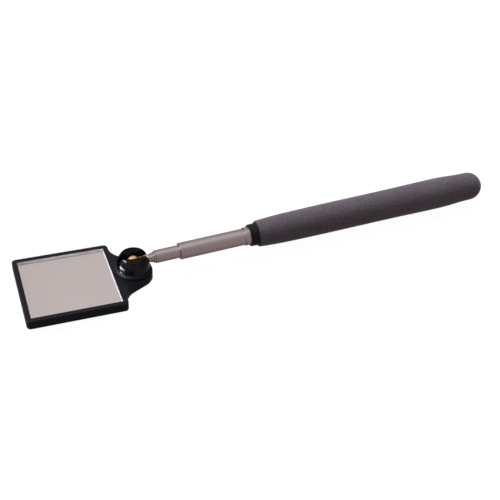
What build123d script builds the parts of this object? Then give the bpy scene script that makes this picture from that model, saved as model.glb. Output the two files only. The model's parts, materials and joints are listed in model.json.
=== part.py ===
from build123d import *
import os

# Telescoping inspection mirror, in millimetres.
#
# Everything is drawn in the rod's frame: the centre of the ball joint is the origin, +X runs
# along the rod to the handle and +Z is up. The head is drawn flat in that frame and then tilted
# about the ball. At the end the whole part is moved so that the origin is the centre of its
# footprint, at the height of its lowest point.

RUN = 0.03  # radial gap between pieces that slide or turn on each other
REACH = 100  # longer than anything that a cutting block has to pass through

# Head: moulded frame, square mirror glass on a foam pad, slotted dome for the ball
HEAD_TILT = 3.65  # degrees that the mirror's tip stands up from the rod's line
FRAME_LENGTH = 50.4  # along the rod
FRAME_WIDTH = 51.1
FRAME_THICKNESS = 4.9
FRAME_CORNER = 2.2  # radius of the frame's upright corners
FRAME_EDGE = 0.45  # radius along the frame's upper and lower outline
RIM_Z = -5.3  # top of the rim, below the ball's centre
FRAME_NEAR_X = -8.5  # side of the frame that faces the handle
GLASS_LENGTH = 45.1
GLASS_WIDTH = 45.8
GLASS_THICKNESS = 2.0
GLASS_BEVEL = 0.15
GLASS_GAP = 0.05  # between the glass and the rim around it
GLASS_DROP = 0.3  # top of the glass below the top of the rim
PAD_SIZE = 43.0
PAD_THICKNESS = 1.0

TAB_RADIUS = 9.9  # round end of the tab that carries the dome
TAB_ROOT_HALF = 15.65  # where the tab's straight flanks would meet the frame
TAB_TANGENT = 63.0  # degrees from +X to where the flanks leave the round end
TAB_ROOT_RADIUS = 10.5

BOSS_RADIUS = 9.4
BOSS_OUTER_Z = -3.95  # the boss's top slopes gently outwards from the dome
BOSS_INNER_Z = -3.3
BOSS_EDGE = 0.6
BOSS_COVE = 1.2  # hollow radius between the dome and the boss
DOME_RADIUS = 8.4
DOME_Z = -0.75  # centre of the dome's ball shape, straight-sided below it
DOME_TOP_Z = 4.65
DOME_EDGE = 0.3
DISH_RADIUS = 5.7  # shallow round dish in the dome's flat top
DISH_DEPTH = 0.9
SLOT_WIDTH = 5.2
SLOT_FLOOR_Z = -3.0

# Ball stud: the ball, its neck with a collar, and a shank held in the smallest tube
BALL_RADIUS = 3.175
NECK_RADIUS = 1.75
NECK_OVERLAP = 0.8  # how far the neck starts inside the ball's surface
COLLAR_RADIUS = 2.12
COLLAR_FRONT_X = 5.8
COLLAR_REAR_X = 7.87  # just clear of the smallest tube's front end
COLLAR_CONE = 0.4  # length of the cone that leads up to it from the neck
SHANK_RADIUS = 1.87
SHANK_START_X = 9.0
SHANK_END_X = 21.0
SHANK_WAIST_X = 13.0  # centre of the waist that the tube is rolled into
WAIST_DEPTH = 0.12
WAIST_LENGTH = 1.2

# Tubes 1 (smallest) to 6 (outermost, fixed in the handle)
TUBE_RADIUS = [2.15, 2.55, 2.98, 3.43, 4.50, 4.95]
TUBE_WALL = [0.25, 0.25, 0.28, 0.30, 0.40, 0.30]
TUBE_FRONT_X = [7.9, 9.2, 10.4, 11.5, 24.4, 60.7]
TUBE_LIP = [0.8, 0.8, 0.8, 0.9, 1.2, 0.9]  # length of the rolled-in front end
TUBE_NOSE = [0.30, 0.32, 0.36, 0.38, 0.90, 0.38]  # radius of its outer corner
TUBE_REAR_X = 176.0  # rear end of tube 6, against the end plug
RING_GROOVE_AT = 2.1  # groove behind the front end of the two largest tubes
RING_GROOVE_WIDTH = 0.5
RING_GROOVE_DEPTH = 0.18

# At the rear end of each sliding tube: a tail bush, and two friction shims ahead of it
BUSH_FLANGE = 2.0
BUSH_SPIGOT = 4.0
BUSH_WALL = 0.7
STACK_GAP = 0.05  # between one bush and the next when the rod is closed
SHIM_LENGTH = 8.0
SHIM_GAP = 0.02
SHIM_ANGLE = 168.0  # each shim goes nearly half way round
BEAD_HEIGHT = 0.09  # raised ring on the tube that keeps the shims in place
BEAD_WIDTH = 0.8  # its flat crest is the middle third of this

# Handle
CORE_FRONT_X = 63.7
CORE_FRONT_RADIUS = 5.95
CORE_RADIUS = 6.12
CORE_REAR_X = 196.6
CORE_EDGE = 0.5
GRIP_FRONT_X = 68.3
GRIP_FRONT_RADIUS = 7.05
GRIP_EDGE = 0.5
GRIP_SWELL = [(76.0, 7.62), (90.0, 8.03), (120.0, 8.25), (160.0, 8.48), (186.0, 8.46)]
GRIP_END_X = 207.5
GRIP_END_RADIUS = 7.9  # the closed end is a half ball
PLUG_FLANGE = 3.0


def rounded(face, corner, radius):
    """The face with the corner nearest to that point rounded."""
    target = Vector(*corner)
    vertex = min(face.vertices(), key=lambda v: (Vector(v.X, v.Y, v.Z) - target).length)
    return fillet(vertex, radius)


def turned(outline):
    """A solid of revolution about the rod from a closed outline of (x, radius) points."""
    return revolve(outline, Axis.X)


def profile(points):
    """A flat face in the XZ plane from a closed run of (x, radius) points."""
    corners = [(x, 0, r) for x, r in points]
    return make_face(Polyline(*corners, close=True))


def ring(x_from, x_to, inner, outer):
    """A plain ring about the rod."""
    return turned(profile([(x_from, inner), (x_to, inner), (x_to, outer), (x_from, outer)]))


def round_bar(x_from, x_to, radius):
    """A plain solid cylinder about the rod."""
    return ring(x_from, x_to, 0, radius)


def bore_radius(n):
    return TUBE_RADIUS[n] - TUBE_WALL[n]


def bush_rear(n):
    """Rear face of a tail bush: tube 5's stands on the end plug, each other on the next spigot."""
    steps = 4 - n
    return TUBE_REAR_X - STACK_GAP - steps * (BUSH_FLANGE + BUSH_SPIGOT + STACK_GAP)


def tube_rear(n):
    return TUBE_REAR_X if n == 5 else bush_rear(n) - BUSH_FLANGE


def bead_front(n):
    return tube_rear(n) - SHIM_LENGTH - 4 * SHIM_GAP - BEAD_WIDTH


def travel(n):
    """How far a tube slides out before its bead meets the next tube's rolled-in end."""
    return bead_front(n) - TUBE_FRONT_X[n + 1] - TUBE_LIP[n + 1] - 2 * STACK_GAP


# ---------------------------------------------------------------- head, drawn flat


def frame_centre_x():
    return FRAME_NEAR_X - FRAME_LENGTH / 2


def head_outline():
    """Plan of the frame and its tab."""
    square = Pos(frame_centre_x(), 0) * RectangleRounded(FRAME_LENGTH, FRAME_WIDTH, FRAME_CORNER)
    tangent = Vector(TAB_RADIUS, 0).rotate(Axis.Z, TAB_TANGENT)
    inside = frame_centre_x()
    flanks = Polyline(
        (inside, TAB_ROOT_HALF),
        (FRAME_NEAR_X, TAB_ROOT_HALF),
        (tangent.X, tangent.Y),
        (tangent.X, -tangent.Y),
        (FRAME_NEAR_X, -TAB_ROOT_HALF),
        (inside, -TAB_ROOT_HALF),
        close=True,
    )
    plan = square + make_face(flanks) + Circle(TAB_RADIUS)
    for side in (1, -1):
        plan = rounded(plan, (FRAME_NEAR_X, side * TAB_ROOT_HALF, 0), TAB_ROOT_RADIUS)
    return plan


def frame_plate():
    """Flat body of the frame with its outline softened above and below."""
    plate = extrude(Pos(0, 0, RIM_Z - FRAME_THICKNESS) * head_outline(), FRAME_THICKNESS)
    edges = plate.edges().filter_by(Axis.Z, reverse=True)
    return fillet(edges, FRAME_EDGE)


def dome():
    """Boss and dome over the ball, turned about the upright axis, with the dish in its flat top."""
    rise = DOME_TOP_Z - DOME_Z
    flat = (DOME_RADIUS**2 - rise**2) ** 0.5
    halfway = Vector(DOME_RADIUS + flat, 0, rise).normalized() * DOME_RADIUS
    dish_z = DOME_TOP_Z - DISH_DEPTH
    dish_curve = (DISH_RADIUS**2 + DISH_DEPTH**2) / (2 * DISH_DEPTH)
    half_out = DISH_RADIUS / 2
    half_up = dish_curve - (dish_curve**2 - half_out**2) ** 0.5
    foot_z = RIM_Z - FRAME_EDGE
    outline = Curve() + [
        Polyline(
            (0, 0, dish_z),
            (0, 0, foot_z),
            (BOSS_RADIUS, 0, foot_z),
            (BOSS_RADIUS, 0, BOSS_OUTER_Z),
            (DOME_RADIUS, 0, BOSS_INNER_Z),
            (DOME_RADIUS, 0, DOME_Z),
        ),
        ThreePointArc(
            (DOME_RADIUS, 0, DOME_Z), (halfway.X, 0, DOME_Z + halfway.Z), (flat, 0, DOME_TOP_Z)
        ),
        Line((flat, 0, DOME_TOP_Z), (DISH_RADIUS, 0, DOME_TOP_Z)),
        ThreePointArc((DISH_RADIUS, 0, DOME_TOP_Z), (half_out, 0, dish_z + half_up), (0, 0, dish_z)),
    ]
    face = make_face(outline)
    face = rounded(face, (BOSS_RADIUS, 0, BOSS_OUTER_Z), BOSS_EDGE)
    face = rounded(face, (DOME_RADIUS, 0, BOSS_INNER_Z), BOSS_COVE)
    face = rounded(face, (flat, 0, DOME_TOP_Z), DOME_EDGE)
    return revolve(face, Axis.Z)


def glass_pocket():
    length = GLASS_LENGTH + 2 * GLASS_GAP
    width = GLASS_WIDTH + 2 * GLASS_GAP
    depth = GLASS_DROP + GLASS_THICKNESS + PAD_THICKNESS
    return Pos(frame_centre_x(), 0, RIM_Z - depth) * Box(
        length, width, REACH, align=(Align.CENTER, Align.CENTER, Align.MIN)
    )


def mirror_frame():
    slot = Pos(0, 0, SLOT_FLOOR_Z) * Box(
        REACH, SLOT_WIDTH, REACH, align=(Align.CENTER, Align.CENTER, Align.MIN)
    )
    return frame_plate() + dome() - slot - Sphere(BALL_RADIUS + RUN) - glass_pocket()


def slab(length, width, thickness, top_z):
    return Pos(frame_centre_x(), 0, top_z) * Box(
        length, width, thickness, align=(Align.CENTER, Align.CENTER, Align.MAX)
    )


def mirror_glass():
    glass = slab(GLASS_LENGTH, GLASS_WIDTH, GLASS_THICKNESS, RIM_Z - GLASS_DROP)
    return chamfer(glass.edges().filter_by(Axis.Z, reverse=True), GLASS_BEVEL)


def mirror_pad():
    return slab(PAD_SIZE, PAD_SIZE, PAD_THICKNESS, RIM_Z - GLASS_DROP - GLASS_THICKNESS)


# ---------------------------------------------------------------- rod


def ball_stud():
    """Ball, neck, collar, and the shank whose waist the smallest tube is rolled into."""
    neck_root = BALL_RADIUS - NECK_OVERLAP
    waist = (SHANK_WAIST_X - WAIST_LENGTH / 2 - RUN, SHANK_WAIST_X + WAIST_LENGTH / 2 + RUN)
    waist_radius = SHANK_RADIUS - WAIST_DEPTH
    shank = profile(
        [
            (neck_root, 0),
            (SHANK_END_X, 0),
            (SHANK_END_X, SHANK_RADIUS),
            (waist[1] + WAIST_DEPTH, SHANK_RADIUS),
            (waist[1], waist_radius),
            (waist[0], waist_radius),
            (waist[0] - WAIST_DEPTH, SHANK_RADIUS),
            (SHANK_START_X, SHANK_RADIUS),
            (SHANK_START_X, NECK_RADIUS),
            (COLLAR_REAR_X, NECK_RADIUS),
            (COLLAR_REAR_X, COLLAR_RADIUS),
            (COLLAR_FRONT_X, COLLAR_RADIUS),
            (COLLAR_FRONT_X - COLLAR_CONE, NECK_RADIUS),
            (neck_root, NECK_RADIUS),
        ]
    )
    return Sphere(BALL_RADIUS) + turned(shank)


def tube(n):
    """Tube n + 1: rolled-in front end, plain bore, bead for the shims on a sliding tube."""
    front, rear = TUBE_FRONT_X[n], tube_rear(n)
    outer, bore = TUBE_RADIUS[n], bore_radius(n)
    inside = NECK_RADIUS if n == 0 else TUBE_RADIUS[n - 1]
    mouth = inside + RUN
    body = profile(
        [
            (front, mouth),
            (front + TUBE_LIP[n], mouth),
            (front + TUBE_LIP[n], bore),
            (rear, bore),
            (rear, outer),
            (front, outer),
        ]
    )
    body = turned(rounded(body, (front, 0, outer), TUBE_NOSE[n]))
    if n >= 4:
        groove = front + RING_GROOVE_AT
        body -= ring(groove, groove + RING_GROOVE_WIDTH, outer - RING_GROOVE_DEPTH, outer + 1)
    if n < 5:
        start = bead_front(n)
        bead = profile(
            [
                (start, outer - TUBE_WALL[n] / 2),
                (start + BEAD_WIDTH, outer - TUBE_WALL[n] / 2),
                (start + BEAD_WIDTH, outer),
                (start + BEAD_WIDTH * 2 / 3, outer + BEAD_HEIGHT),
                (start + BEAD_WIDTH / 3, outer + BEAD_HEIGHT),
                (start, outer),
            ]
        )
        body += turned(bead)
    return body


def smallest_tube():
    """Tube 1, with the groove that is rolled down into the stud's waist."""
    half = WAIST_LENGTH / 2
    low, high = SHANK_WAIST_X - half, SHANK_WAIST_X + half
    outer, bore = TUBE_RADIUS[0], bore_radius(0)
    outside = profile(
        [
            (low - WAIST_DEPTH, outer),
            (low, outer - WAIST_DEPTH),
            (high, outer - WAIST_DEPTH),
            (high + WAIST_DEPTH, outer),
        ]
    )
    inside = profile(
        [
            (low - WAIST_DEPTH / 2, bore),
            (low, bore - WAIST_DEPTH + RUN),
            (high, bore - WAIST_DEPTH + RUN),
            (high + WAIST_DEPTH / 2, bore),
            (high + WAIST_DEPTH / 2, bore + WAIST_DEPTH / 2),
            (low - WAIST_DEPTH / 2, bore + WAIST_DEPTH / 2),
        ]
    )
    return tube(0) - turned(outside) + turned(inside)


def tail_bush(n):
    """Turned bush: a spigot in the tube's rear end and a flange that runs in the next bore."""
    rear, end = bush_rear(n), tube_rear(n)
    spigot = bore_radius(n)
    hole = spigot - BUSH_WALL
    flange = bore_radius(n + 1) - RUN
    return turned(
        profile(
            [
                (end - BUSH_SPIGOT, hole),
                (rear, hole),
                (rear, flange),
                (end, flange),
                (end, spigot),
                (end - BUSH_SPIGOT, spigot),
            ]
        )
    )


def friction_shims(n):
    """Two springy half sleeves between the tube and the bore it slides in."""
    front = tube_rear(n) - SHIM_LENGTH - SHIM_GAP
    section = profile(
        [
            (front, TUBE_RADIUS[n] + SHIM_GAP),
            (front + SHIM_LENGTH, TUBE_RADIUS[n] + SHIM_GAP),
            (front + SHIM_LENGTH, bore_radius(n + 1) - SHIM_GAP),
            (front, bore_radius(n + 1) - SHIM_GAP),
        ]
    )
    half = revolve(section, Axis.X, SHIM_ANGLE)
    start = (180 - SHIM_ANGLE) / 2
    return Compound(children=[Rot(start + turn, 0, 0) * half for turn in (0, 180)])


# ---------------------------------------------------------------- handle


def handle_core():
    """Black sleeve over tube 6. Its front end shows as a collar ahead of the grip."""
    bore = TUBE_RADIUS[5]
    outline = profile(
        [
            (CORE_FRONT_X, bore),
            (CORE_REAR_X, bore),
            (CORE_REAR_X, CORE_RADIUS),
            (GRIP_FRONT_X, CORE_RADIUS),
            (CORE_FRONT_X, CORE_FRONT_RADIUS),
        ]
    )
    return turned(rounded(outline, (CORE_FRONT_X, 0, CORE_FRONT_RADIUS), CORE_EDGE))


def end_plug():
    """Plug in the rear of the core. The closed tubes stand on its front face."""
    spigot = round_bar(TUBE_REAR_X, CORE_REAR_X, TUBE_RADIUS[5])
    return spigot + round_bar(CORE_REAR_X, CORE_REAR_X + PLUG_FLANGE, CORE_RADIUS)


def grip():
    """Foam grip: narrow mouth, a long slight swell, and a closed half-ball end."""
    cavity_end = CORE_REAR_X + PLUG_FLANGE
    centre = GRIP_END_X - GRIP_END_RADIUS
    side = Spline(
        (GRIP_FRONT_X, 0, GRIP_FRONT_RADIUS),
        *[(x, 0, radius) for x, radius in GRIP_SWELL],
        (centre, 0, GRIP_END_RADIUS),
        tangents=[(1, 0, 0.1), (1, 0, 0)],
    )
    diagonal = GRIP_END_RADIUS * 0.5**0.5
    end = ThreePointArc(
        (centre, 0, GRIP_END_RADIUS), (centre + diagonal, 0, diagonal), (GRIP_END_X, 0, 0)
    )
    inside = Polyline(
        (GRIP_END_X, 0, 0),
        (cavity_end, 0, 0),
        (cavity_end, 0, CORE_RADIUS),
        (GRIP_FRONT_X, 0, CORE_RADIUS),
        (GRIP_FRONT_X, 0, GRIP_FRONT_RADIUS),
    )
    outline = make_face(Curve() + [side, end, inside])
    outline = rounded(outline, (GRIP_FRONT_X, 0, GRIP_FRONT_RADIUS), GRIP_EDGE)
    return turned(outline)


# ---------------------------------------------------------------- the whole part


def build():
    """Every sub-part, by name, in the part's own frame."""
    tilt = Rot(0, HEAD_TILT, 0)
    parts = {
        "mirror_frame": tilt * mirror_frame(),
        "mirror_glass": tilt * mirror_glass(),
        "mirror_pad": tilt * mirror_pad(),
        "ball_stud": ball_stud(),
        "tube_1": smallest_tube(),
        "handle_core": handle_core(),
        "end_plug": end_plug(),
        "grip": grip(),
    }
    for n in range(1, 6):
        parts[f"tube_{n + 1}"] = tube(n)
    for n in range(5):
        parts[f"tail_bush_{n + 1}"] = tail_bush(n)
        parts[f"friction_shims_{n + 1}"] = friction_shims(n)
    boxes = [solid.bounding_box() for solid in parts.values()]
    middle_x = (min(b.min.X for b in boxes) + max(b.max.X for b in boxes)) / 2
    lowest = min(b.min.Z for b in boxes)
    return {name: Pos(-middle_x, 0, -lowest) * solid for name, solid in parts.items()}


os.makedirs("parts", exist_ok=True)
for node, solid in build().items():
    export_step(solid, f"parts/{node}.step")
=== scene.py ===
import json
import math

import bmesh
import bpy
import numpy as np
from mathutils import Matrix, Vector


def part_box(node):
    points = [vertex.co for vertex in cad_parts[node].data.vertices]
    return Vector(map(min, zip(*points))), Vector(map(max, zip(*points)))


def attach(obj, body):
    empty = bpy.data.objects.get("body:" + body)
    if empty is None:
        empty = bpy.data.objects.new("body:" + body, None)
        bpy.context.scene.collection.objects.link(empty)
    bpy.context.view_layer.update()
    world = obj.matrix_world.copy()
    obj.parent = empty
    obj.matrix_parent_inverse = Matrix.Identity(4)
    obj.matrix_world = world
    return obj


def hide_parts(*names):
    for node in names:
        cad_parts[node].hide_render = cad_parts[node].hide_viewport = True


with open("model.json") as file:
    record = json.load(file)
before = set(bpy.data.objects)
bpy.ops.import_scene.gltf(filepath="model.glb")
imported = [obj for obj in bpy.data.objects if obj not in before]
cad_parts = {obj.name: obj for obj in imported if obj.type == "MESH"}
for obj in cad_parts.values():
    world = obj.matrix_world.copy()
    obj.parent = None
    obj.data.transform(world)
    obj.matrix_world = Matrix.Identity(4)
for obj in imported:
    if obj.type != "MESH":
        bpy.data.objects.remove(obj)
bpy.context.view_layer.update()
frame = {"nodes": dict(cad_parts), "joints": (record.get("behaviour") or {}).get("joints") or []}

# Telescoping inspection mirror: looks, stage, lights and camera, in metres.
#
# The rod's frame is used for everything that is turned about the rod: x is measured along the
# rod from the centre of the ball joint, towards the handle, and r is the distance from the rod.

MM = 0.001
JOINTS = {joint["name"]: joint for joint in frame["joints"]}
BALL = Vector(JOINTS["head_tilt"]["pos_m"])

# Tubes, from the smallest to the fixed one in the handle, which is counted as number 5
FIXED_TUBE = 5
FIRST_RINGED_TUBE = 4
RUN = 0.03 * MM  # gap between a tube's mouth and the tube inside it
TUBE_WALL = [0.25 * MM, 0.25 * MM, 0.28 * MM, 0.30 * MM, 0.40 * MM, 0.30 * MM]
TUBE_LIP = [0.8 * MM, 0.8 * MM, 0.8 * MM, 0.9 * MM, 1.2 * MM, 0.9 * MM]
TUBE_NOSE = [0.30 * MM, 0.32 * MM, 0.36 * MM, 0.38 * MM, 0.90 * MM, 0.38 * MM]
BEAD_HEIGHT = 0.09 * MM  # of the CAD's ring near a sliding tube's rear, left out here
RING_GROOVE_AT = 2.1 * MM
RING_GROOVE_WIDTH = 0.5 * MM
RING_GROOVE_DEPTH = 0.14 * MM

# Ball stud
STUD_WAIST_AT = 13.0 * MM  # tube 1 is rolled into the stud's waist here
STUD_WAIST_DEPTH = 0.12 * MM
STUD_WAIST_LENGTH = 1.2 * MM
STUD_NECK = 1.75 * MM
STUD_COLLAR = 2.12 * MM
STUD_COLLAR_AT = 5.8 * MM
STUD_COLLAR_END = 7.87 * MM
STUD_CONE = 0.4 * MM
STUD_SHANK = 1.87 * MM
STUD_SHANK_AT = 9.0 * MM
STUD_CHAMFER = 0.2 * MM

# Grip
GRIP_END_RADIUS = 7.9 * MM
GRIP_EDGE = 0.5 * MM
GRIP_CHAMFER = 0.3 * MM  # at the mouth of the bore
GRIP_LEAST_WALL = 0.4 * MM  # the grip's skin is at least this far out from its bore
GRIP_STEP = 0.55 * MM  # between rings of points along the grip

# Head
GLASS_THICKNESS = 2.0 * MM
SILVER_THICKNESS = 0.05 * MM
SILVER_GAP = 0.01 * MM
ARRIS = 0.12 * MM  # the narrow bevel ground along the glass's edges
HOLLOW_RADII = (7.6 * MM, 7.95 * MM)  # from the ball's centre: the dome's hollow, with its painted shade, ends here
DOME_RADII = (8.8 * MM, 9.2 * MM)  # and its polished outside ends here

# Meshes
EDGE = 0.06 * MM  # edges that are only broken, not rounded
MERGE = 0.0001 * MM  # points closer than this are one point
SHARP_ANGLE = math.radians(40)  # edges that are sharper than this aren't shaded smooth
LEVEL = 0.999  # cosine of the most that a level face leans from the head's own up
TURNED_SEGMENTS = 128
GRIP_SEGMENTS = 192
ARC_STEPS = 5
LIP_STEPS = 6
BALL_STEPS = 40

# Camera
CAMERA_AZIMUTH = math.radians(-20.56)
CAMERA_ELEVATION = math.radians(38.1)
CAMERA_DISTANCE = 446.775 * MM
CAMERA_TARGET = BALL + Vector((60.02, -12.01, 0)) * MM
FOCAL_LENGTH = 61.04  # in millimetres, as is the sensor
SENSOR_WIDTH = 36

# Lamps and room
LAMP_DISTANCE = 1.3  # of the two lamps at the left, from the ball
SIDE_LAMP_WAY = Vector((-0.877, 0.192, 0.439))
KICKER_WAY = Vector((-0.842, 0.099, 0.527))
KEY_PLACE = (0.1, 0.75, 1.3)
WARM_WHITE = (1.0, 0.97, 1.0)
COOL_WHITE = (0.97, 0.98, 1.0)
PATCH_ELEVATION = math.radians(82)  # middle of the room's bright patch, on the far side
PATCH_COLOUR = (1.04, 0.98, 1.02)
FLOOR_COLOUR = (0.26, 0.225, 0.22)
ROOM_COLOURS = (  # by the angle from the middle of the patch, in degrees
    (22, (0.86, 0.79, 0.81)),
    (36, (0.60, 0.535, 0.535)),
    (48, (0.55, 0.485, 0.48)),
    (66, (0.46, 0.40, 0.395)),
    (90, (0.43, 0.37, 0.365)),
    (118, (0.46, 0.39, 0.38)),
    (138, (0.37, 0.315, 0.305)),
)
ROOM_ENDS = (  # direction's x at two places, and the room's strength there
    (-0.35, 0.15, 0.62, 1.0),
    (0.38, 0.95, 1.0, 0.45),
)


# ---------------------------------------------------------------- mesh helpers


def rod_span(node):
    """(front x, rear x, largest radius) of a CAD node that is turned about the rod."""
    low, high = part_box(node)
    return low.x - BALL.x, high.x - BALL.x, (high.z - low.z) / 2


def softened(corners):
    """A closed outline from (x, r, radius) corners, each rounded with an arc of its radius."""
    points = []
    count = len(corners)
    for i, (x, r, radius) in enumerate(corners):
        here = Vector((x, r))
        if radius == 0:
            points.append(here)
            continue
        back = (Vector(corners[i - 1][:2]) - here).normalized()
        ahead = (Vector(corners[(i + 1) % count][:2]) - here).normalized()
        half = back.angle(ahead) / 2
        centre = here + (back + ahead).normalized() * (radius / math.sin(half))
        start = here + back * (radius / math.tan(half)) - centre
        end = here + ahead * (radius / math.tan(half)) - centre
        for step in range(ARC_STEPS + 1):
            arm = start.lerp(end, step / ARC_STEPS).normalized() * radius
            points.append(centre + arm)
    return points


def turned(name, outline, segments=TURNED_SEGMENTS):
    """A closed mesh made by turning an outline of (x, r) points about the rod."""
    verts = []
    for x, r in outline:
        for s in range(segments):
            angle = 2 * math.pi * s / segments
            verts.append(
                (BALL.x + x, BALL.y + r * math.sin(angle), BALL.z + r * math.cos(angle))
            )
    faces = []
    count = len(outline)
    for i in range(count):
        j = (i + 1) % count
        for s in range(segments):
            t = (s + 1) % segments
            faces.append(
                (i * segments + s, i * segments + t, j * segments + t, j * segments + s)
            )
    return clean_piece(name, verts, faces)


def clean_piece(name, verts, faces):
    """A smooth-shaded object from raw faces, with doubles merged and its sharp edges marked."""
    mesh = bpy.data.meshes.new(name)
    mesh.from_pydata(verts, [], faces)
    bm = bmesh.new()
    bm.from_mesh(mesh)
    bmesh.ops.remove_doubles(bm, verts=bm.verts, dist=MERGE)
    bmesh.ops.dissolve_degenerate(bm, edges=bm.edges, dist=MERGE / 10)
    bmesh.ops.recalc_face_normals(bm, faces=bm.faces)
    bm.to_mesh(mesh)
    bm.free()
    mesh.shade_smooth()
    mesh.set_sharp_from_angle(angle=SHARP_ANGLE)
    return linked(name, mesh)


def linked(name, data):
    """A new object in the scene with this mesh, lamp or camera."""
    made = bpy.data.objects.new(name, data)
    bpy.context.scene.collection.objects.link(made)
    return made


def finish_piece(piece, material, body, slot, *nodes):
    """Gives a piece its material and its body, and hides the CAD nodes that it stands for. The
    slot is not used.
    """
    piece.data.materials.clear()
    piece.data.materials.append(material)
    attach(piece, body)
    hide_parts(*nodes)
    return piece


# ---------------------------------------------------------------- material helpers


class Surface:
    """A Principled material that is built up node by node."""

    def __init__(self, name, **values):
        self.material = bpy.data.materials.new(name)
        self.material.use_nodes = True
        self.tree = self.material.node_tree
        self.shader = self.tree.nodes["Principled BSDF"]
        self.set(**values)

    def set(self, **values):
        for name, value in values.items():
            self.shader.inputs[name.replace("_", " ")].default_value = value

    def node(self, kind, **links):
        made = self.tree.nodes.new(kind)
        for name, value in links.items():
            socket = made.inputs[name.replace("_", " ")]
            if isinstance(value, bpy.types.NodeSocket):
                self.tree.links.new(value, socket)
            else:
                socket.default_value = value
        return made

    def link(self, value, name):
        self.tree.links.new(value, self.shader.inputs[name])

    def place(self, scale=(1, 1, 1)):
        """The piece's own coordinates, in metres, stretched along an axis if asked."""
        here = self.node("ShaderNodeTexCoord").outputs["Object"]
        return self.node("ShaderNodeMapping", Vector=here, Scale=scale).outputs[0]

    def noise(self, scale, detail=3.0, rough=0.55, stretch=(1, 1, 1)):
        made = self.node(
            "ShaderNodeTexNoise",
            Vector=self.place(stretch),
            Scale=scale,
            Detail=detail,
            Roughness=rough,
        )
        return made.outputs["Fac"]

    def cells(self, scale):
        made = self.node("ShaderNodeTexVoronoi", Vector=self.place(), Scale=scale)
        return made.outputs["Distance"]

    def spread(self, value, low, high, out_low, out_high):
        """Maps a value's range onto another range, held at both ends."""
        made = self.node("ShaderNodeMapRange", Value=value)
        made.inputs["From Min"].default_value = low
        made.inputs["From Max"].default_value = high
        made.inputs["To Min"].default_value = out_low
        made.inputs["To Max"].default_value = out_high
        return made.outputs["Result"]

    def blend(self, factor, first, second):
        """A mix of two colours."""
        made = self.tree.nodes.new("ShaderNodeMix")
        made.data_type = "RGBA"
        for index, value in ((0, factor), (6, first), (7, second)):
            if isinstance(value, bpy.types.NodeSocket):
                self.tree.links.new(value, made.inputs[index])
            elif index == 0:
                made.inputs[0].default_value = value
            else:
                made.inputs[index].default_value = (*value, 1)
        return made.outputs[2]

    def mix(self, factor, first, second):
        """A mix of two values."""
        made = self.tree.nodes.new("ShaderNodeMix")
        for index, value in ((0, factor), (2, first), (3, second)):
            self.tree.links.new(value, made.inputs[index])
        return made.outputs[0]

    def near(self, place, full, none):
        """1 within the first distance of a place, falling to 0 at the second."""
        apart = self.tree.nodes.new("ShaderNodeVectorMath")
        apart.operation = "DISTANCE"
        self.tree.links.new(self.place(), apart.inputs[0])
        apart.inputs[1].default_value = place
        return self.spread(apart.outputs["Value"], full, none, 1.0, 0.0)

    def sum(self, first, second, weight=1.0):
        """first + second * weight."""
        made = self.tree.nodes.new("ShaderNodeMath")
        made.operation = "MULTIPLY_ADD"
        self.tree.links.new(second, made.inputs[0])
        made.inputs[1].default_value = weight
        self.tree.links.new(first, made.inputs[2])
        return made.outputs[0]

    def bump(self, height, depth, strength=1.0):
        """Raises the surface by the height value times depth, in metres."""
        made = self.node("ShaderNodeBump", Height=height, Strength=strength, Distance=depth)
        self.link(made.outputs[0], "Normal")


# ---------------------------------------------------------------- materials


def black_plastic():
    """Satin moulded plastic with a fine grain: polished outside the dome, dull in its hollow,
    which is also darkened with painted shade.
    """
    s = Surface("black_plastic")
    clouds = s.noise(90, 3)
    grain = s.noise(5200, 2)
    inside = s.near(BALL, *HOLLOW_RADII)
    tone = s.blend(clouds, (0.0020, 0.0019, 0.0040), (0.0032, 0.0030, 0.0060))
    # the darker colour inside the dome's hollow is painted shade
    s.link(s.blend(inside, tone, (0.0020, 0.0016, 0.0019)), "Base Color")
    dome = s.sum(s.near(BALL, *DOME_RADII), inside, -1.0)
    texture = s.sum(clouds, grain, 0.4)
    plate = s.spread(texture, 0.3, 1.1, 0.44, 0.56)
    polished = s.spread(texture, 0.3, 1.1, 0.13, 0.20)
    s.link(s.mix(dome, plate, polished), "Roughness")
    sheen = s.spread(dome, 0.0, 1.0, 0.21, 0.29)
    s.link(s.sum(sheen, inside, -0.15), "Specular IOR Level")
    s.bump(s.sum(grain, clouds, 0.8), 0.008 * MM)
    return s.material


def core_plastic():
    """Smoother black plastic of the sleeve that shows as the collar."""
    s = Surface("core_plastic", Specular_IOR_Level=0.22)
    clouds = s.noise(160, 3)
    rings = s.noise(900, 2, stretch=(1, 0.03, 0.03))
    s.link(s.blend(clouds, (0.0050, 0.0038, 0.0050), (0.0075, 0.0058, 0.0075)), "Base Color")
    s.link(s.spread(clouds, 0.3, 0.7, 0.32, 0.46), "Roughness")
    s.bump(rings, 0.006 * MM)
    return s.material


def nickel():
    """Satin nickel on the tubes: fine polishing lines, long slide marks, faint handling."""
    s = Surface("nickel", Metallic=1.0)
    rings = s.noise(4200, 3, stretch=(1, 0.04, 0.04))
    slides = s.noise(3600, 2, stretch=(0.012, 1, 1))
    clouds = s.noise(70, 4)
    colour = s.blend(clouds, (0.475, 0.425, 0.42), (0.535, 0.48, 0.475))
    marks = s.spread(slides, 0.62, 0.78, 0.0, 0.35)
    s.link(s.blend(marks, colour, (0.40, 0.34, 0.33)), "Base Color")
    s.link(s.spread(s.sum(clouds, rings, 0.5), 0.4, 1.1, 0.26, 0.42), "Roughness")
    s.bump(s.sum(rings, slides, 0.6), 0.004 * MM)
    return s.material


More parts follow.
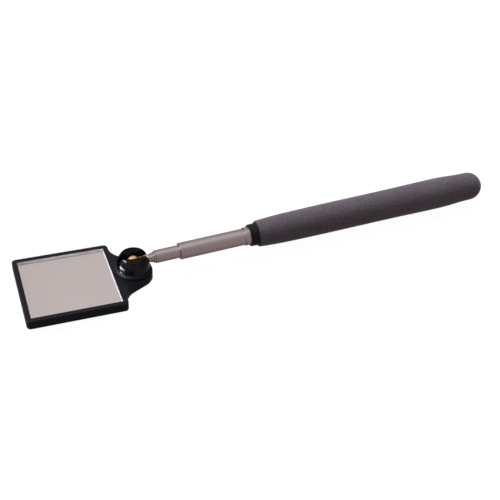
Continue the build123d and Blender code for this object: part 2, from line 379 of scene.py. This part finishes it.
def brass():
    """Turned brass of the ball stud, a little tarnished."""
    s = Surface("brass", Metallic=0.85)
    lines = s.noise(6000, 2, stretch=(1, 0.03, 0.03))
    tarnish = s.noise(420, 4)
    s.link(s.blend(tarnish, (0.86, 0.60, 0.30), (0.70, 0.46, 0.20)), "Base Color")
    s.link(s.spread(s.sum(tarnish, lines, 0.4), 0.3, 1.0, 0.30, 0.46), "Roughness")
    s.bump(lines, 0.003 * MM)
    return s.material


def bronze():
    """Drawn spring bronze of the friction shims."""
    s = Surface("spring_bronze", Metallic=1.0)
    lines = s.noise(4000, 2, stretch=(0.02, 1, 1))
    s.link(s.blend(lines, (0.52, 0.30, 0.16), (0.68, 0.42, 0.24)), "Base Color")
    s.link(s.spread(lines, 0.3, 0.7, 0.25, 0.42), "Roughness")
    s.bump(lines, 0.004 * MM)
    return s.material


def grey_foam():
    """Fine closed-cell foam: matt, speckled, with tiny open pores in its skin, darkened with
    painted shade.
    """
    s = Surface("grey_foam", Specular_IOR_Level=0.25)
    speck = s.noise(1500, 3, 0.7)
    mottle = s.noise(700, 2)
    pores = s.cells(2300)
    clouds = s.noise(55, 3)
    specks = s.spread(speck, 0.34, 0.66, 0, 1)
    tone = s.blend(specks, (0.062, 0.054, 0.064), (0.144, 0.127, 0.152))
    tone = s.blend(s.spread(clouds, 0.35, 0.65, 0.0, 0.28), tone, (0.060, 0.052, 0.062))
    tone = s.blend(s.spread(mottle, 0.36, 0.64, 0.0, 0.34), tone, (0.054, 0.047, 0.056))
    # painted shade: the pits at the pores are darkened in the colour
    pore_shade = s.spread(pores, 0.0, 0.32, 0.55, 0.0)
    s.link(s.blend(pore_shade, tone, (0.030, 0.026, 0.030)), "Base Color")
    s.link(s.spread(speck, 0.3, 0.7, 0.82, 0.95), "Roughness")
    s.set(Sheen_Weight=0.25, Sheen_Roughness=0.45)
    height = s.sum(speck, s.spread(pores, 0.0, 0.35, 0, 1), 0.8)
    s.bump(s.sum(height, mottle, 1.5), 0.05 * MM)
    return s.material


def silvering():
    """The mirror's silver layer, very slightly uneven."""
    s = Surface("silvering", Metallic=1.0, Roughness=0.015)
    clouds = s.noise(40, 2)
    s.link(s.blend(clouds, (0.925, 0.905, 0.900), (0.945, 0.925, 0.920)), "Base Color")
    s.link(s.spread(s.noise(260, 3), 0.35, 0.75, 0.01, 0.03), "Roughness")
    return s.material


def clear_glass():
    """Float glass in front of the silver, with faint wiping marks. Lamps shine through it."""
    s = Surface("clear_glass", Transmission_Weight=1.0, IOR=1.52)
    s.set(Base_Color=(0.985, 0.995, 0.988, 1))
    marks = s.noise(900, 3, stretch=(1, 0.2, 1))
    s.link(s.spread(marks, 0.55, 0.9, 0.0, 0.02), "Roughness")
    open_way = s.node("ShaderNodeBsdfTransparent", Color=(0.9, 0.9, 0.9, 1)).outputs[0]
    lamp_ray = s.node("ShaderNodeLightPath").outputs["Is Shadow Ray"]
    both = s.node("ShaderNodeMixShader", Fac=lamp_ray)
    s.tree.links.new(s.shader.outputs[0], both.inputs[1])
    s.tree.links.new(open_way, both.inputs[2])
    s.tree.links.new(both.outputs[0], s.tree.nodes["Material Output"].inputs["Surface"])
    return s.material


def ground_glass():
    """The pane's ground edges, with a painted glow that stands in for the light that is caught in
    the glass.
    """
    s = Surface("ground_glass", IOR=1.52)
    grain = s.noise(3200, 2)
    s.link(s.blend(grain, (0.33, 0.32, 0.33), (0.40, 0.385, 0.395)), "Base Color")
    s.link(s.spread(grain, 0.3, 0.7, 0.45, 0.7), "Roughness")
    # painted light: a faint emission stands in for light scattered in from the glass
    s.set(Emission_Color=(1.0, 0.93, 0.94, 1), Emission_Strength=0.10)
    s.bump(grain, 0.01 * MM)
    return s.material


def foam_tape():
    """White foam mounting tape under the glass."""
    s = Surface("foam_tape", Specular_IOR_Level=0.3)
    cells = s.cells(2600)
    s.link(s.blend(cells, (0.60, 0.59, 0.55), (0.80, 0.79, 0.75)), "Base Color")
    s.link(s.spread(cells, 0, 0.5, 0.9, 0.75), "Roughness")
    s.bump(cells, 0.03 * MM)
    return s.material


def light_table():
    """Matt white acrylic that is lit a little from behind."""
    s = Surface("light_table", Specular_IOR_Level=0.1, Roughness=0.9)
    fibre = s.noise(9, 4)
    s.link(s.blend(fibre, (0.055, 0.055, 0.055), (0.065, 0.065, 0.065)), "Base Color")
    s.set(Emission_Color=(1, 1, 1, 1), Emission_Strength=0.97)
    return s.material


# ---------------------------------------------------------------- pieces


def groove(at, width, depth, outer, soft):
    """The four corners of a groove turned into a radius."""
    floor = outer - depth
    return [
        (at, outer, soft),
        (at + soft, floor, soft),
        (at + width - soft, floor, soft),
        (at + width, outer, soft),
    ]


def tube_outline(n, front, rear, outer):
    """Closed outline of tube n + 1, with the mouth that is rolled in on the next tube."""
    inner_radius = STUD_NECK if n == 0 else tube_radius(n - 1)
    mouth = inner_radius + RUN
    bore = outer - TUBE_WALL[n]
    corners = [(front, mouth, EDGE), (front, outer, TUBE_NOSE[n])]
    if n == 0:
        waist = STUD_WAIST_AT - STUD_WAIST_LENGTH / 2
        corners += groove(waist, STUD_WAIST_LENGTH, STUD_WAIST_DEPTH, outer, STUD_WAIST_DEPTH)
    if n >= FIRST_RINGED_TUBE:
        soft = RING_GROOVE_DEPTH / 3
        corners += groove(
            front + RING_GROOVE_AT, RING_GROOVE_WIDTH, RING_GROOVE_DEPTH, outer, soft
        )
    corners += [
        (rear, outer, EDGE),
        (rear, bore, EDGE),
        (front + TUBE_LIP[n], bore, EDGE),
        (front + TUBE_LIP[n], mouth, EDGE),
    ]
    return softened(corners)


def tube_radius(n):
    """Outer radius of tube n + 1, without the bead that the CAD tube has at its rear."""
    radius = rod_span(f"tube_{n + 1}")[2]
    return radius if n == FIXED_TUBE else radius - BEAD_HEIGHT


def tubes(material):
    """The nested tubes, each on its own body; the fixed one rides on the handle."""
    for n in range(FIXED_TUBE + 1):
        front, rear, _ = rod_span(f"tube_{n + 1}")
        outline = tube_outline(n, front, rear, tube_radius(n))
        piece = turned(f"polished_tube_{n + 1}", outline)
        body = "handle" if n == FIXED_TUBE else f"section_{n + 1}"
        finish_piece(piece, material, body, "nickel", f"tube_{n + 1}")


def grip_radii():
    """The grip's radius along the rod, read from the CAD grip's outer skin."""
    centre = np.array(BALL)
    verts = np.array([v.co for v in frame["nodes"]["grip"].data.vertices]) - centre
    x = verts[:, 0]
    r = np.hypot(verts[:, 1], verts[:, 2])
    bore = rod_span("handle_core")[2]
    skin = r > bore + GRIP_LEAST_WALL
    order = np.argsort(x[skin])
    return x[skin][order], r[skin][order]


def grip_skin(front, rear):
    """The grip's outline from behind its front edge to the tip of its round end."""
    xs, rs = grip_radii()
    end_centre = rear - GRIP_END_RADIUS
    start = front + GRIP_EDGE
    skin = []
    count = int((end_centre - front - GRIP_EDGE) / GRIP_STEP)
    for i in range(count + 1):
        x = start + (end_centre - front - GRIP_EDGE) * i / count
        skin.append(Vector((x, float(np.interp(x, xs, rs)))))
    cap_steps = int(GRIP_END_RADIUS * math.pi / 2 / GRIP_STEP)
    for i in range(1, cap_steps + 1):
        angle = math.pi / 2 * i / cap_steps
        along = GRIP_END_RADIUS * math.sin(angle)
        skin.append(Vector((end_centre + along, GRIP_END_RADIUS * math.cos(angle))))
    skin[-1].y = 0
    return skin


def grip_lip(front, radius):
    """The rounded front edge of the grip, up to the start of its skin."""
    lip = []
    for i in range(LIP_STEPS):
        angle = math.pi / 2 * i / LIP_STEPS
        x = front + GRIP_EDGE - GRIP_EDGE * math.cos(angle)
        lip.append(Vector((x, radius - GRIP_EDGE + GRIP_EDGE * math.sin(angle))))
    return lip


def foam_grip(material):
    """The soft grip, with its bore and the cavity behind the core's plug."""
    front, rear, _ = rod_span("grip")
    bore = rod_span("handle_core")[2]
    cavity = rod_span("end_plug")[1]
    skin = grip_skin(front, rear)
    lip = grip_lip(front, skin[0].y)
    inside = [
        Vector((cavity, 0)),
        Vector((cavity, bore)),
        Vector((front + GRIP_CHAMFER, bore)),
        Vector((front, bore + GRIP_CHAMFER)),
    ]
    piece = turned("foam_grip", lip + skin + inside, GRIP_SEGMENTS)
    finish_piece(piece, material, "handle", "grey_foam", "grip")


def ball_and_stud(material):
    """Ball, neck, collar, and the shank that is held in tube 1."""
    _, rear, radius = rod_span("ball_stud")
    neck_angle = math.asin(STUD_NECK / radius)
    arc = []
    for i in range(BALL_STEPS + 1):
        angle = math.pi - (math.pi - neck_angle) * i / BALL_STEPS
        arc.append(Vector((radius * math.cos(angle), radius * math.sin(angle))))
    arc[0].y = 0
    rod = [
        Vector((STUD_COLLAR_AT - STUD_CONE, STUD_NECK)),
        Vector((STUD_COLLAR_AT, STUD_COLLAR)),
        Vector((STUD_COLLAR_END - EDGE, STUD_COLLAR)),
        Vector((STUD_COLLAR_END, STUD_COLLAR - EDGE)),
        Vector((STUD_COLLAR_END, STUD_NECK)),
        Vector((STUD_SHANK_AT, STUD_NECK)),
        Vector((STUD_SHANK_AT, STUD_SHANK)),
        Vector((rear - STUD_CHAMFER, STUD_SHANK)),
        Vector((rear, STUD_SHANK - STUD_CHAMFER)),
        Vector((rear, 0)),
    ]
    piece = turned("brass_ball_stud", arc + rod)
    return finish_piece(piece, material, "ball_stud", "brass", "ball_stud")


def head_axes():
    """(centre of the glass's face, unit vectors towards the rod, sideways and up) of the head."""
    mesh = frame["nodes"]["mirror_glass"].data
    face = max(mesh.polygons, key=lambda p: p.area * (p.normal.z > 0.5))
    up = face.normal.normalized()
    along = Vector((0, 1, 0)).cross(up)
    top = max(v.co.dot(up) for v in mesh.vertices)
    flat = np.array([v.co for v in mesh.vertices if v.co.dot(up) > top - 10 * MERGE])
    middle = (Vector(np.min(flat, axis=0)) + Vector(np.max(flat, axis=0))) / 2
    return middle, along, Vector((0, 1, 0)), up


def slab(name, top, inset, thickness, bevel):
    """A slab like the glass, in from its edges, with its top at that depth below the glass's."""
    middle, along, side, up = head_axes()
    mesh = frame["nodes"]["mirror_glass"].data
    length = spread_along(mesh, along) - 2 * inset
    width = spread_along(mesh, side) - 2 * inset
    bm = bmesh.new()
    bmesh.ops.create_cube(bm, size=1)
    for vert in bm.verts:
        x, y, z = vert.co
        height = (z - 0.5) * thickness - top
        vert.co = middle + along * x * length + side * y * width + up * height
    if bevel:
        bmesh.ops.bevel(
            bm, geom=list(bm.edges), offset=bevel, segments=2, profile=0.5, affect="EDGES"
        )
    bmesh.ops.recalc_face_normals(bm, faces=bm.faces)
    mesh = bpy.data.meshes.new(name)
    bm.to_mesh(mesh)
    bm.free()
    return linked(name, mesh)


def spread_along(mesh, direction):
    """How far a mesh reaches in a direction."""
    reach = [v.co.dot(direction) for v in mesh.vertices]
    return max(reach) - min(reach)


def mirror_pane(glass, edge, silver):
    """The glass as a clear slab with ground edges, over its silver layer."""
    thickness = GLASS_THICKNESS - SILVER_THICKNESS - SILVER_GAP
    pane = slab("glass_pane", 0, 0, thickness, ARRIS)
    layer = slab("silver_layer", thickness + SILVER_GAP, ARRIS, SILVER_THICKNESS, 0)
    pane.data.materials.append(glass)
    pane.data.materials.append(edge)
    up = head_axes()[3]
    for polygon in pane.data.polygons:
        polygon.material_index = 0 if abs(polygon.normal.dot(up)) > LEVEL else 1
    layer.data.materials.append(silver)
    for piece in (pane, layer):
        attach(piece, "head")
    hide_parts("mirror_glass")
    return pane


def dress(node, material):
    """Gives its material to a CAD node that stays in the visual model."""
    piece = frame["nodes"][node]
    piece.data.materials.clear()
    piece.data.materials.append(material)


# ---------------------------------------------------------------- stage


def cyclorama(material):
    """A round floor that curves up into a wall under a ceiling. Only the camera sees it."""
    floor_radius, bend, height = 5.0, 2.0, 6.0
    steps = 24
    outline = [(0.0, 0.0), (floor_radius, 0.0)]
    for i in range(1, steps + 1):
        angle = math.pi / 2 * i / steps
        outline.append((floor_radius + bend * math.sin(angle), bend - bend * math.cos(angle)))
    outline += [(floor_radius + bend, height), (0.0, height)]
    segments = 64
    verts, faces = [], []
    for r, z in outline:
        for s in range(segments):
            turn = 2 * math.pi * s / segments
            verts.append((r * math.cos(turn), r * math.sin(turn), z))
    for i in range(len(outline) - 1):
        ring = i * segments
        above = ring + segments
        for s in range(segments):
            t = (s + 1) % segments
            faces.append((ring + s, ring + t, above + t, above + s))
    piece = clean_piece("cyclorama", verts, faces)
    piece.data.materials.append(material)
    piece.visible_glossy = False
    piece.visible_diffuse = False
    piece.visible_transmission = False
    piece.visible_shadow = False


def softbox(name, place, aim, size, power, colour):
    """A rectangular lamp that faces a point."""
    light = bpy.data.lights.new(name, "AREA")
    light.shape = "RECTANGLE"
    light.size, light.size_y = size
    light.energy = power
    light.color = colour
    lamp = linked(name, light)
    lamp.location = place
    lamp.rotation_euler = (Vector(aim) - Vector(place)).to_track_quat("-Z", "Y").to_euler()
    return lamp


def flagged(lamp, pieces):
    """Flags a lamp off from everything but these pieces."""
    reach = bpy.data.collections.new(lamp.name + "_reach")
    for piece in pieces:
        reach.objects.link(piece)
    lamp.light_linking.receiver_collection = reach


def room_colour(tree, way):
    """The room's colour in a direction, by the angle from its bright patch."""
    towards = tree.nodes.new("ShaderNodeVectorMath")
    towards.operation = "DOT_PRODUCT"
    towards.inputs[1].default_value = (0, math.cos(PATCH_ELEVATION), math.sin(PATCH_ELEVATION))
    tree.links.new(way, towards.inputs[0])
    span = tree.nodes.new("ShaderNodeMapRange")
    span.inputs["From Min"].default_value = -1
    span.inputs["From Max"].default_value = 1
    tree.links.new(towards.outputs["Value"], span.inputs["Value"])
    ramp = tree.nodes.new("ShaderNodeValToRGB")
    tree.links.new(span.outputs["Result"], ramp.inputs["Fac"])
    stops = ramp.color_ramp.elements
    stops[0].position, stops[0].color = 0.0, (*FLOOR_COLOUR, 1)
    stops[1].position, stops[1].color = 1.0, (*PATCH_COLOUR, 1)
    for degrees, colour in ROOM_COLOURS:
        stop = stops.new((math.cos(math.radians(degrees)) + 1) / 2)
        stop.color = (*colour, 1)
    return ramp.outputs["Color"]


def room_strength(tree, way):
    """How bright the room is in a direction: it falls off towards both ends of the rod."""
    split = tree.nodes.new("ShaderNodeSeparateXYZ")
    tree.links.new(way, split.inputs[0])
    strength = tree.nodes.new("ShaderNodeMath")
    strength.operation = "MULTIPLY"
    for index, (left, right, at_left, at_right) in enumerate(ROOM_ENDS):
        end = tree.nodes.new("ShaderNodeMapRange")
        tree.links.new(split.outputs["X"], end.inputs["Value"])
        end.inputs["From Min"].default_value = left
        end.inputs["From Max"].default_value = right
        end.inputs["To Min"].default_value = at_left
        end.inputs["To Max"].default_value = at_right
        tree.links.new(end.outputs["Result"], strength.inputs[index])
    return strength.outputs[0]


def studio_world():
    """A pale, slightly warm room, dimmer at both ends, brightest round a patch almost overhead."""
    world = bpy.data.worlds.new("studio")
    bpy.context.scene.world = world
    world.use_nodes = True
    tree = world.node_tree
    way = tree.nodes.new("ShaderNodeTexCoord").outputs["Generated"]
    shade = tree.nodes["Background"]
    tree.links.new(room_colour(tree, way), shade.inputs["Color"])
    tree.links.new(room_strength(tree, way), shade.inputs["Strength"])


def camera():
    """In front of the rod and above it, a little to the left, looking down at its middle."""
    lens = bpy.data.cameras.new("camera")
    lens.lens = FOCAL_LENGTH
    lens.sensor_width = SENSOR_WIDTH
    lens.clip_start = 0.01
    lens.clip_end = 50
    level = math.cos(CAMERA_ELEVATION)
    away = Vector(
        (
            math.sin(CAMERA_AZIMUTH) * level,
            -math.cos(CAMERA_AZIMUTH) * level,
            math.sin(CAMERA_ELEVATION),
        )
    )
    eye = linked("camera", lens)
    eye.location = CAMERA_TARGET + away * CAMERA_DISTANCE
    eye.rotation_euler = (-away).to_track_quat("-Z", "Y").to_euler()
    bpy.context.scene.camera = eye


def lamps(kicked):
    """A large lamp overhead, a small one at the left, and a strip that lights only some pieces."""
    key = softbox("key", KEY_PLACE, (0, 0, 0), (0.9, 0.9), 27, WARM_WHITE)
    key.visible_glossy = False
    side = BALL + SIDE_LAMP_WAY * LAMP_DISTANCE
    softbox("side", side, BALL, (0.34, 0.34), 3.2, COOL_WHITE)
    strip = BALL + KICKER_WAY * LAMP_DISTANCE
    kicker = softbox("kicker", strip, BALL, (0.80, 0.22), 28, COOL_WHITE)
    flagged(kicker, kicked)


def build():
    camera()
    metal = nickel()
    yellow = brass()
    tubes(metal)
    foam_grip(grey_foam())
    stud = ball_and_stud(yellow)
    pane = mirror_pane(clear_glass(), ground_glass(), silvering())
    dress("mirror_frame", black_plastic())
    dress("mirror_pad", foam_tape())
    core = core_plastic()
    dress("handle_core", core)
    dress("end_plug", core)
    shims = bronze()
    for n in range(1, 6):
        dress(f"tail_bush_{n}", yellow)
        dress(f"friction_shims_{n}", shims)
    cyclorama(light_table())
    studio_world()
    lamps([frame["nodes"]["mirror_frame"], pane, stud])
    bpy.context.scene.view_settings.view_transform = "Standard"


build()
